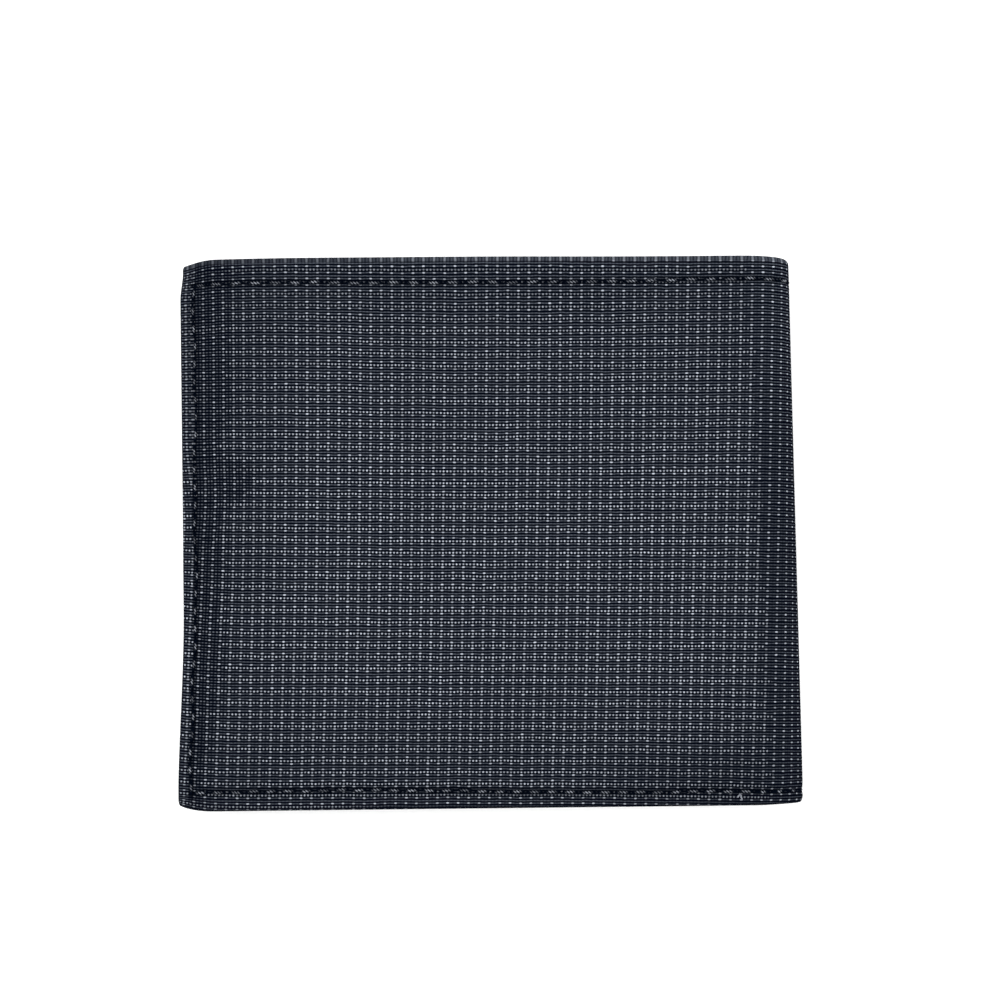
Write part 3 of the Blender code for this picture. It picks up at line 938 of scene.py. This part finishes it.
def leather_material():
    """Fine-grained black leather of the pockets."""
    n = Nodes("pocket_leather")
    cells = n.add("ShaderNodeTexVoronoi", feature="DISTANCE_TO_EDGE")
    cells.inputs["Scale"].default_value = 1500.0
    n.link(n.place(), cells.inputs["Vector"])
    grain = n.step(cells.outputs["Distance"], 0.0, 0.25)
    mottle = n.noise(n.place(), 90.0, 5.0, 0.6)
    shade = n.times(grain, n.plus(0.55, n.times(mottle, 0.9)))
    n.link(n.mix(shade, (0.004, 0.0045, 0.006, 1), (0.020, 0.0215, 0.026, 1)), n.shader.inputs["Base Color"])
    n.link(n.plus(0.42, n.times(mottle, 0.25)), n.shader.inputs["Roughness"])
    n.shader.inputs["Specular IOR Level"].default_value = 0.2
    n.bump(grain, 0.05 * MM, 0.5)
    return n.material


def board_material():
    """Pressed fibre board, unseen between shell and lining."""
    n = Nodes("stiffener_board")
    fibres = n.noise(n.place(), 900.0, 5.0, 0.7)
    n.link(n.mix(fibres, (0.26, 0.22, 0.17, 1), (0.40, 0.34, 0.27, 1)), n.shader.inputs["Base Color"])
    n.bump(fibres, 0.04 * MM, 0.4)
    n.shader.inputs["Roughness"].default_value = 0.9
    return n.material


MATERIALS = {
    "shell_fabric": weave_material(),
    "sewing_thread": thread_material(),
    "lining_fabric": lining_material(),
    "pocket_leather": leather_material(),
    "stiffener_board": board_material(),
}


def finish_piece(obj, slot):
    obj.data.materials.clear()
    obj.data.materials.append(MATERIALS[slot])
    return obj


def bend_at_fold(obj, side):
    """Bakes the layer's placing into its mesh, the same for either cover."""
    if side < 0:
        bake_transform(obj)
    else:
        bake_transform(obj)


def build_cover(side_name, side):
    body = f"{side_name}_cover"
    spine_thread = {"back": "thread_spine_bottom", "front": "thread_spine_top"}[side_name]

    shell = finish_piece(make_shell(side_name, side), "shell_fabric")
    bend_at_fold(shell, side)
    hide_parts(f"shell_{side_name}", "shell_spine")

    stitching = finish_piece(make_stitching(side_name, side), "sewing_thread")
    bend_at_fold(stitching, side)
    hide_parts(f"thread_{side_name}", spine_thread)

    inner_stitching = finish_piece(make_inner_stitching(side_name, side), "sewing_thread")
    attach(inner_stitching, body)

    lining = make_panel(
        f"note_lining_cloth_{side_name}", side,
        0, SIDE_EDGE - LINING_INSET, BOTTOM + LINING_INSET, LINING_TOP,
        sewn_depths(LINING), near_rim=False,
    )
    finish_piece(lining, "lining_fabric")
    bend_at_fold(lining, side)
    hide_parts(f"note_lining_{side_name}", "note_lining_spine")

    wall = make_panel(
        f"note_wall_cloth_{side_name}", side,
        0, SIDE_EDGE - INNER_INSET, BOTTOM + INNER_INSET, INNER_WALL_TOP,
        hem_depths(INNER_WALL, INNER_WALL_THIN, thin_outer=True), near_rim=False,
    )
    finish_piece(wall, "lining_fabric")
    bend_at_fold(wall, side)
    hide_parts(f"inner_wall_{side_name}", "inner_wall_spine")

    panels = [(f"slip_pocket_{side_name}", SLIP_POCKET_TOP, SLIP_POCKET)]
    for i in range(SLOT_COUNT):
        start = FIRST_SLOT + i * SLOT_STEP
        top = FIRST_SLOT_TOP - i * SLOT_RISE
        panels.append((f"card_slot_{side_name}_{i + 1}", top, (start, start + SLOT_THICKNESS)))
    for node, top, depths in panels:
        panel = make_panel(
            f"{node}_leather", side,
            POCKET_END, SIDE_EDGE - POCKET_INSET, BOTTOM + POCKET_INSET, top,
            sewn_depths(depths), near_rim=True,
        )
        finish_piece(panel, "pocket_leather")
        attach(panel, body)
        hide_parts(node)
    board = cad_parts[f"stiffener_{side_name}"]
    board.data.materials.clear()
    board.data.materials.append(MATERIALS["stiffener_board"])


def build_stage():
    """A plain white floor that glows a little, washing out the wallet's shadow on it, soft light from all
    round and above, and the camera straight above.
    """
    bpy.ops.mesh.primitive_plane_add(size=4, location=(0, 0, -0.05 * MM))
    floor = bpy.context.object
    floor.name = "floor"
    material = bpy.data.materials.new("floor_white")
    material.use_nodes = True
    shader = material.node_tree.nodes["Principled BSDF"]
    shader.inputs["Base Color"].default_value = (0.95, 0.95, 0.95, 1)
    shader.inputs["Roughness"].default_value = 0.9
    # The floor's glow is painted light that washes out the wallet's shadow on it.
    shader.inputs["Emission Color"].default_value = (1, 1, 1, 1)
    shader.inputs["Emission Strength"].default_value = 0.12
    floor.data.materials.append(material)

    world = bpy.data.worlds.new("studio")
    world.use_nodes = True
    world.node_tree.nodes["Background"].inputs["Color"].default_value = (1, 1, 1, 1)
    world.node_tree.nodes["Background"].inputs["Strength"].default_value = 1.0
    bpy.context.scene.world = world

    for name, place_at, size, power in (
        ("key_light", (-0.25, 0.35, 0.9), 0.9, 9.0),
        ("fill_light", (0.45, -0.3, 0.8), 0.9, 4.0),
    ):
        light = bpy.data.lights.new(name, "AREA")
        light.shape = "DISK"
        light.size = size
        light.energy = power
        lamp = bpy.data.objects.new(name, light)
        lamp.location = place_at
        lamp.rotation_euler = (-lamp.location).to_track_quat("-Z", "Y").to_euler()
        bpy.context.scene.collection.objects.link(lamp)

    camera_data = bpy.data.cameras.new("camera")
    camera_data.sensor_width = SENSOR_WIDTH
    camera_data.lens = SENSOR_WIDTH * (CAMERA_AT[2] - THICKNESS) / VIEW_WIDTH
    camera = bpy.data.objects.new("camera", camera_data)
    camera.location = CAMERA_AT
    camera.rotation_euler = (0, 0, CAMERA_TURN)
    bpy.context.scene.collection.objects.link(camera)
    bpy.context.scene.camera = camera
    bpy.context.scene.view_settings.view_transform = "Standard"


for cover_name, cover_side in COVERS.items():
    build_cover(cover_name, cover_side)
build_stage()

bpy.context.view_layer.update()
